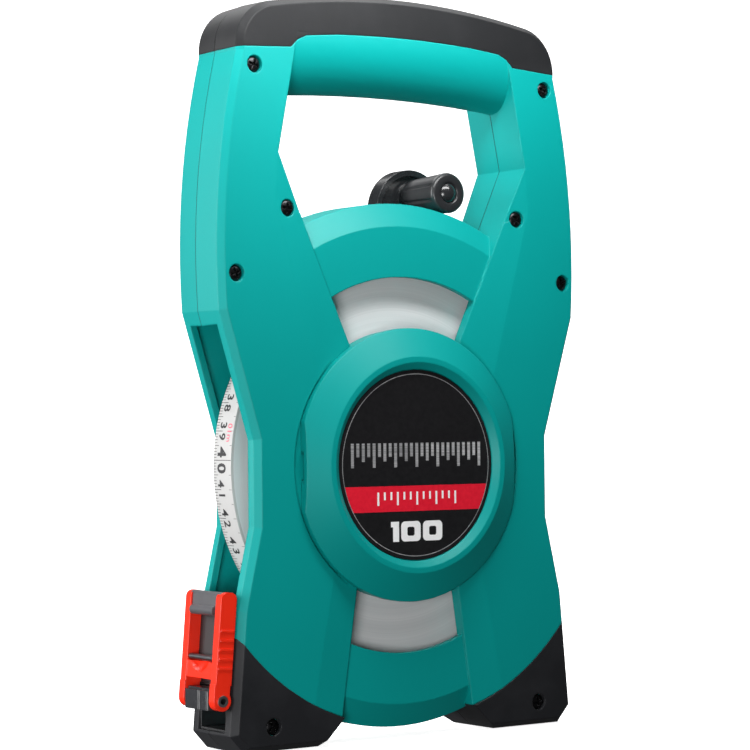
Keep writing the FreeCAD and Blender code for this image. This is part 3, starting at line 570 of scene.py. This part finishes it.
# ---------------------------------------------------------------- turned and cut pieces
def turned_grid(profile, angles, radius_at):
    """Closed grid of points about the Y axis: profile lists (y, r), and radius_at(y, r, angle) shapes it."""
    points, faces = [], []
    count = len(angles)
    for y, r in profile:
        for angle in angles:
            reach = radius_at(y, r, angle)
            points.append((reach * math.sin(angle), y, reach * math.cos(angle)))
    for row in range(len(profile) - 1):
        for k in range(count):
            after = (k + 1) % count
            faces.append([row * count + k, row * count + after,
                          (row + 1) * count + after, (row + 1) * count + k])
    return points, faces


def screw_head(centre_x, centre_z, front_y, radius, turn):
    """Pan head with a cross recess: a dome of rings whose middle is pressed in along two tapered slots."""
    points, faces = [], []
    rings, steps = 15, 56
    height, slot, skirt_depth = 1.1 * MM, 0.42 * MM, 0.6 * MM
    for ring in range(rings + 1):
        r = radius * ring / rings
        for k in range(steps):
            angle = 2 * math.pi * k / steps
            u = abs(r * math.cos(angle + turn))
            v = abs(r * math.sin(angle + turn))
            dome = height * (1 - (r / radius) ** 2) ** 0.5 if ring < rings else 0.0
            dome = min(dome, height * 0.8 + dome * 0.2)
            inside = (min(u, v) < slot) and (max(u, v) < radius * 0.66)
            depth = 1.0 * MM * (1 - max(u, v) / (radius * 0.95)) + 0.15 * MM if inside else 0.0
            points.append((centre_x + r * math.sin(angle), front_y + height - dome + depth,
                           centre_z + r * math.cos(angle)))
    for ring in range(rings):
        for k in range(steps):
            after = (k + 1) % steps
            faces.append([ring * steps + k, ring * steps + after, (ring + 1) * steps + after,
                          (ring + 1) * steps + k])
    skirt = len(points)
    for k in range(steps):
        angle = 2 * math.pi * k / steps
        points.append((centre_x + radius * math.sin(angle), front_y + height + skirt_depth,
                       centre_z + radius * math.cos(angle)))
    for k in range(steps):
        after = (k + 1) % steps
        faces.append([rings * steps + k, rings * steps + after, skirt + after, skirt + k])
    return points, faces


# ---------------------------------------------------------------- operators
class REEL_OT_housing(bpy.types.Operator):
    """Finish the moulded half shells and the hub cap"""
    bl_idname = "reel.housing"
    bl_label = "Housing"

    def execute(self, context):
        colours = context.scene.reel_colours
        shell = moulded_abs("ABS spark-eroded teal with parting line", tuple(colours.housing), seam_y=SEAM_Y)
        cap = moulded_abs("ABS spark-eroded teal", tuple(colours.housing))
        for node in ("front_shell", "rear_shell"):
            dress(node, shell)
        dress("hub_cap", cap)
        return {"FINISHED"}


class REEL_OT_overmould(bpy.types.Operator):
    """Finish the soft grip and the rubber feet"""
    bl_idname = "reel.overmould"
    bl_label = "Grip and feet"

    def execute(self, context):
        colours = context.scene.reel_colours
        grip = overmoulded_rubber("TPR matt grip cover", tuple(colours.grip), 0.5, 0.8, 0.25)
        feet = overmoulded_rubber("TPR matt foot cover", tuple(colours.feet), 0.45, 0.7, 0.3)
        for node in ("front_grip", "rear_grip"):
            dress(node, grip)
        for node in ("front_left_foot", "front_right_foot", "rear_left_foot", "rear_right_foot"):
            dress(node, feet)
        return {"FINISHED"}


class REEL_OT_screws(bpy.types.Operator):
    """Make the eight cross-recess screws of the housing"""
    bl_idname = "reel.screws"
    bl_label = "Screws"

    def execute(self, context):
        sizes = context.scene.reel_sizes
        black = ground_steel("Steel screws black oxide", from_hex("#3A3A3C"), 0.32)
        points, faces = [], []
        for number, (x, z) in enumerate(screw_centres()):
            some, more = screw_head(x, z, SCREW_LOW.y, sizes.screw_radius, 0.4 + 0.9 * number)
            first = len(points)
            points.extend(some)
            faces.extend([[first + i for i in face] for face in more])
        heads = mesh_piece("housing_screw_heads", points, faces, black)
        finish_piece(heads, "frame", "black_screw", "frame_screws")
        return {"FINISHED"}


def screw_centres():
    """Middle of each screw, read from the frame's own screw solids: the vertices fall in eight groups."""
    groups = []
    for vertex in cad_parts["frame_screws"].data.vertices:
        x, z = vertex.co.x, vertex.co.z
        for group in groups:
            if abs(group[0][0] - x) < 6 * MM and abs(group[0][1] - z) < 6 * MM:
                group.append((x, z))
                break
        else:
            groups.append([(x, z)])
    centres = []
    for group in groups:
        xs = [p[0] for p in group]
        zs = [p[1] for p in group]
        centres.append(((min(xs) + max(xs)) / 2, (min(zs) + max(zs)) / 2))
    return sorted(centres)


class REEL_OT_label(bpy.types.Operator):
    """Print the round label: silver ring, scale strip, red band and the tape's length"""
    bl_idname = "reel.label"
    bl_label = "Label"

    def execute(self, context):
        colours, sizes = context.scene.reel_colours, context.scene.reel_sizes
        ground = printed_ink("Printed gloss label ground", tuple(colours.label), 0.3)
        dress("label_disc", ground)
        foil = brushed_foil("Silver foil brushed")
        white = printed_ink("White screen ink", from_hex("#F4F4F4"))
        red = printed_ink("Red screen ink", tuple(colours.band), 0.35)
        depth = LABEL_LOW.y - 0.03 * MM
        ring = ring_piece("label_fine_ring", sizes.label_ring, 0.24 * MM, depth, foil)
        finish_piece(ring, "frame", "label_face")
        band_low, band_high = -16.1 * MM, -7.2 * MM
        band = band_piece("label_red_band", sizes.label_ring - 0.17 * MM, band_low, band_high, depth, red)
        finish_piece(band, "frame", "label_face")
        bars = []
        for step in range(25):
            x = (step - 12) * 2.3
            low = -0.7 if step % 4 == 0 else (1.4 if step % 2 == 0 else 3.0)
            bars.append((x - 0.62, x + 0.62, low, 7.7))
        finish_piece(flat_print("label_silver_scale", bars, depth, foil), "frame", "label_face")
        ticks = []
        for step in range(13):
            x = (step - 6) * 2.8
            ticks.append((x - 0.4, x + 0.4, -13.9 if step % 3 == 0 else -12.0, -9.3))
        finish_piece(flat_print("label_white_scale", ticks, depth - 0.02 * MM, white), "frame", "label_face")
        points, faces = [], []
        foot, head = -26.6, -19.6
        numeral_one(points, faces, -11.5, -8.0, foot, head, 2.6, depth)
        numeral_zero(points, faces, -7.1, 1.4, foot, head, 2.7, depth)
        numeral_zero(points, faces, 2.4, 10.9, foot, head, 2.7, depth)
        finish_piece(mesh_piece("label_length_numerals", points, faces, white), "frame", "label_face")
        return {"FINISHED"}


class REEL_OT_tape(bpy.types.Operator):
    """Finish the wound tape and print its centimetre scale"""
    bl_idname = "reel.tape"
    bl_label = "Tape"

    def execute(self, context):
        colours, sizes = context.scene.reel_colours, context.scene.reel_sizes
        blade = lacquered_tape("Steel tape white lacquer", tuple(colours.tape))
        dress("tape_outer_turn", blade)
        dress("tape_leader", blade)
        dress("tape_coil", wound_tape_edges("Wound steel tape edges"))
        black, red = printed_scale(sizes)
        ink = printed_ink("Black scale ink", tuple(colours.ink))
        red_ink = printed_ink("Red scale ink", tuple(colours.red_ink))
        finish_piece(mesh_piece("tape_scale_print", black.points, black.faces, ink), "reel", "tape_blade")
        finish_piece(mesh_piece("tape_metre_print", red.points, red.faces, red_ink), "reel", "tape_blade")
        return {"FINISHED"}


class REEL_OT_crank(bpy.types.Operator):
    """Finish the crank and make its fluted winding knob"""
    bl_idname = "reel.crank"
    bl_label = "Crank and knob"

    def execute(self, context):
        colours, sizes = context.scene.reel_colours, context.scene.reel_sizes
        nylon = moulded_nylon("Nylon moulded black", tuple(colours.fitting))
        gloss = moulded_nylon("Nylon moulded black polished", tuple(colours.fitting), 0.2, 0.5)
        for node in ("crank_hub", "reel_hub"):
            dress(node, nylon)
        dress("crank_arm", gloss)
        dress("knob_axle", gloss)
        finish_piece(make_knob(sizes.knob_radius, nylon), "knob", "black_fitting", "crank_knob")
        return {"FINISHED"}


def make_knob(radius, material):
    """Winding knob: dished tip, then a barrel that tapers towards the arm, with grooves between wide pads."""
    tip, root = KNOB_LOW.y, KNOB_HIGH.y
    hole, taper = 3.6 * MM, 1.0 * MM
    groove_start, groove_end = tip + 2.4 * MM, root - 1.6 * MM
    profile = [(tip + 2.2 * MM, 2.2 * MM), (tip + 2.2 * MM, hole), (tip + 0.4 * MM, hole),
               (tip + 0.1 * MM, hole + 0.2 * MM), (tip, hole + 0.6 * MM), (tip, radius - 1.1 * MM),
               (tip + 0.15 * MM, radius - 0.65 * MM), (tip + 0.5 * MM, radius - 0.25 * MM),
               (tip + 1.0 * MM, radius - 0.05 * MM), (tip + 1.5 * MM, radius)]
    barrel = root - tip - 2.1 * MM
    for step in range(1, 19):
        profile.append((tip + 1.5 * MM + barrel * step / 18, radius - taper * step / 18))
    profile += [(root - 0.3 * MM, radius - taper - 0.15 * MM), (root, radius - taper - 0.5 * MM),
                (root, 2.2 * MM)]
    angles = [2 * math.pi * k / 256 for k in range(256)]

    def shaped(y, r, angle):
        if not groove_start < y < groove_end or r < radius - taper - 0.1 * MM:
            return r
        fade = min(1.0, (y - groove_start) / (0.6 * MM), (groove_end - y) / (0.6 * MM))
        share = abs((angle * 8 / (2 * math.pi)) % 1.0 - 0.5) * 2
        return r - 0.5 * MM * fade * max(0.0, 1 - (share / 0.24) ** 2) ** 0.5

    points, faces = turned_grid(profile, angles, shaped)
    middle = (KNOB_LOW + KNOB_HIGH) / 2
    points = [(x + middle.x, y, z + middle.z) for x, y, z in points]
    return mesh_piece("winding_knob", points, faces, material, smooth=True)


class REEL_OT_hook(bpy.types.Operator):
    """Finish the folding end hook and the tape clamp"""
    bl_idname = "reel.hook"
    bl_label = "End hook"

    def execute(self, context):
        colours = context.scene.reel_colours
        dress("hook_body", moulded_acetal("Acetal moulded red", tuple(colours.hook)))
        grey = moulded_nylon("Nylon moulded dark grey", from_hex("#4A4A4D"), 0.34, 0.4)
        dress("hook_bar", grey)
        dress("hook_plate", moulded_nylon("Nylon moulded black hook plate", from_hex("#141517"), 0.6, 0.2))
        dress("tape_clamp", moulded_nylon("Clamp black lacquered steel", from_hex("#2A2B2E"), 0.25, 0.3))
        zinc = ground_steel("Steel pins zinc plated", from_hex("#C9CACC"), 0.3)
        dress("hook_rivet", zinc)
        dress("hook_cross_pin", ground_steel("Steel cross pin dark", from_hex("#77787C"), 0.35))
        return {"FINISHED"}


class REEL_OT_metal(bpy.types.Operator):
    """Finish the shaft, pins and bearings inside, and the throat that guides the tape; the throat's
    near-black also paints the shade deep in the mouth
    """
    bl_idname = "reel.metal"
    bl_label = "Shaft and bearings"

    def execute(self, context):
        steel = ground_steel("Steel turned bright", from_hex("#C4C5C7"), 0.28)
        for node in ("shaft", "shaft_screw", "shaft_washer", "crank_fold_pin", "tape_anchor_pin"):
            dress(node, steel)
        # The liner guides the tape, but its near-black colour is also painted shade that stands for the dark
        # deep inside the mouth.
        dress("mouth_liner", moulded_nylon("Nylon moulded black throat with painted mouth shade", from_hex("#151618"), 0.45, 0.3))
        bearing = moulded_nylon("Acetal moulded natural", from_hex("#DAD7CC"), 0.35, 0.3)
        dress("front_bush", bearing)
        dress("rear_bush", moulded_nylon("Nylon moulded black bearing", from_hex("#26272A"), 0.38, 0.4))
        return {"FINISHED"}


class REEL_OT_stage(bpy.types.Operator):
    """Set up the pale floor, soft lights and the camera"""
    bl_idname = "reel.stage"
    bl_label = "Stage"

    def execute(self, context):
        sweep = paper_bowl(CAD_BOX[0].z - 0.4 * MM, seamless_paper("Seamless white paper"))
        # The paper is only a background: it lights nothing, shows in no reflection and casts no shadow.
        sweep.visible_diffuse = False
        sweep.visible_glossy = False
        sweep.visible_shadow = False

        world = bpy.data.worlds.new("Studio")
        world.use_nodes = True
        world.node_tree.nodes["Background"].inputs["Color"].default_value = (*from_hex("#FFFFFF"), 1)
        world.node_tree.nodes["Background"].inputs["Strength"].default_value = 0.05
        context.scene.world = world

        soft_light("left_wall_light", (-0.75, 0.3, 0.14), (0.5, 0.6), 8.2, (-0.07, 0.0, 0.04))
        soft_light("top_front_light", (-0.03, -0.105, 0.225), (0.24, 0.05), 0.68, (0.0, 0.0, 0.09))
        soft_light("front_light", (-0.52, -0.5, -0.08), (0.25, 0.25), 2.9, (-0.02, 0.0, -0.02))
        soft_light("overhead_light", (0.35, 0.7, 1.5), (2.2, 1.6), 46.0, (0.5, 0.8, -0.1))

        lens = bpy.data.cameras.new("Camera")
        lens.sensor_width = 36.0
        lens.lens = 118.7
        lens.clip_start = 0.02
        camera = bpy.data.objects.new("Camera", lens)
        context.scene.collection.objects.link(camera)
        camera.matrix_world = looking(Vector((-0.51888, -0.71060, 0.01583)), 35.91, 1.04, -0.53)
        context.scene.camera = camera
        context.scene.view_settings.view_transform = "Standard"
        return {"FINISHED"}


def paper_bowl(floor_z, material):
    """Round paper sweep: a flat floor, a bend all round it and a wall behind every view. Sizes in metres."""
    floor_reach, bend, wall_top = 1.7, 0.8, 4.0
    bend_steps, around = 12, 96
    rows = [(0.4, 0.0), (floor_reach, 0.0)]
    for step in range(1, bend_steps + 1):
        angle = math.pi / 2 * step / bend_steps
        rows.append((floor_reach + bend * math.sin(angle), bend * (1 - math.cos(angle))))
    rows.append((floor_reach + bend, wall_top))
    points = []
    for reach, up in rows:
        for k in range(around):
            angle = 2 * math.pi * k / around
            points.append((reach * math.cos(angle), reach * math.sin(angle), floor_z + up))
    faces = [list(range(around))]
    for row in range(len(rows) - 1):
        for k in range(around):
            here, after = row * around + k, row * around + (k + 1) % around
            faces.append([here, here + around, after + around, after])
    return mesh_piece("paper_sweep", points, faces, material, smooth=True)


def looking(place, turn, rise, roll):
    """Camera matrix: turn is degrees from +Y towards +X, rise above the horizon, roll about its own axis."""
    a, e, r = math.radians(turn), math.radians(rise), math.radians(roll)
    ahead = Vector((math.sin(a) * math.cos(e), math.cos(a) * math.cos(e), math.sin(e)))
    right = ahead.cross(Vector((0, 0, 1))).normalized()
    up = right.cross(ahead)
    tilted_right = right * math.cos(r) + up * math.sin(r)
    tilted_up = up * math.cos(r) - right * math.sin(r)
    made = Matrix((tilted_right, tilted_up, -ahead)).transposed().to_4x4()
    made.translation = place
    return made


def soft_light(name, place, size, power, aim):
    """Rectangular studio light aimed at a point."""
    lamp = bpy.data.lights.new(name, "AREA")
    lamp.shape = "RECTANGLE"
    lamp.size, lamp.size_y = size
    lamp.energy = power
    made = bpy.data.objects.new(name, lamp)
    made.location = place
    made.rotation_euler = (Vector(aim) - Vector(place)).to_track_quat("-Z", "Y").to_euler()
    bpy.context.scene.collection.objects.link(made)


class REEL_PT_panel(bpy.types.Panel):
    """Sizes, colours and steps of the tape reel"""
    bl_idname = "REEL_PT_panel"
    bl_label = "Tape Reel"
    bl_space_type = "VIEW_3D"
    bl_region_type = "UI"
    bl_category = "Tape Reel"

    def draw(self, context):
        layout = self.layout
        for group in (context.scene.reel_colours, context.scene.reel_sizes):
            box = layout.box()
            for key in group.__annotations__:
                box.prop(group, key)
        for step in STEPS:
            layout.operator(step.bl_idname)


STEPS = (REEL_OT_stage, REEL_OT_housing, REEL_OT_overmould, REEL_OT_screws, REEL_OT_label, REEL_OT_tape,
         REEL_OT_crank, REEL_OT_hook, REEL_OT_metal)
CLASSES = (REEL_PG_colours, REEL_PG_sizes, *STEPS, REEL_PT_panel)


def register():
    for cls in CLASSES:
        bpy.utils.register_class(cls)
    bpy.types.Scene.reel_colours = PointerProperty(type=REEL_PG_colours)
    bpy.types.Scene.reel_sizes = PointerProperty(type=REEL_PG_sizes)


def unregister():
    del bpy.types.Scene.reel_sizes
    del bpy.types.Scene.reel_colours
    for cls in reversed(CLASSES):
        bpy.utils.unregister_class(cls)


def main():
    register()
    bpy.ops.reel.stage()
    bpy.ops.reel.housing()
    bpy.ops.reel.overmould()
    bpy.ops.reel.screws()
    bpy.ops.reel.label()
    bpy.ops.reel.tape()
    bpy.ops.reel.crank()
    bpy.ops.reel.hook()
    bpy.ops.reel.metal()


if __name__ == "__main__":
    main()
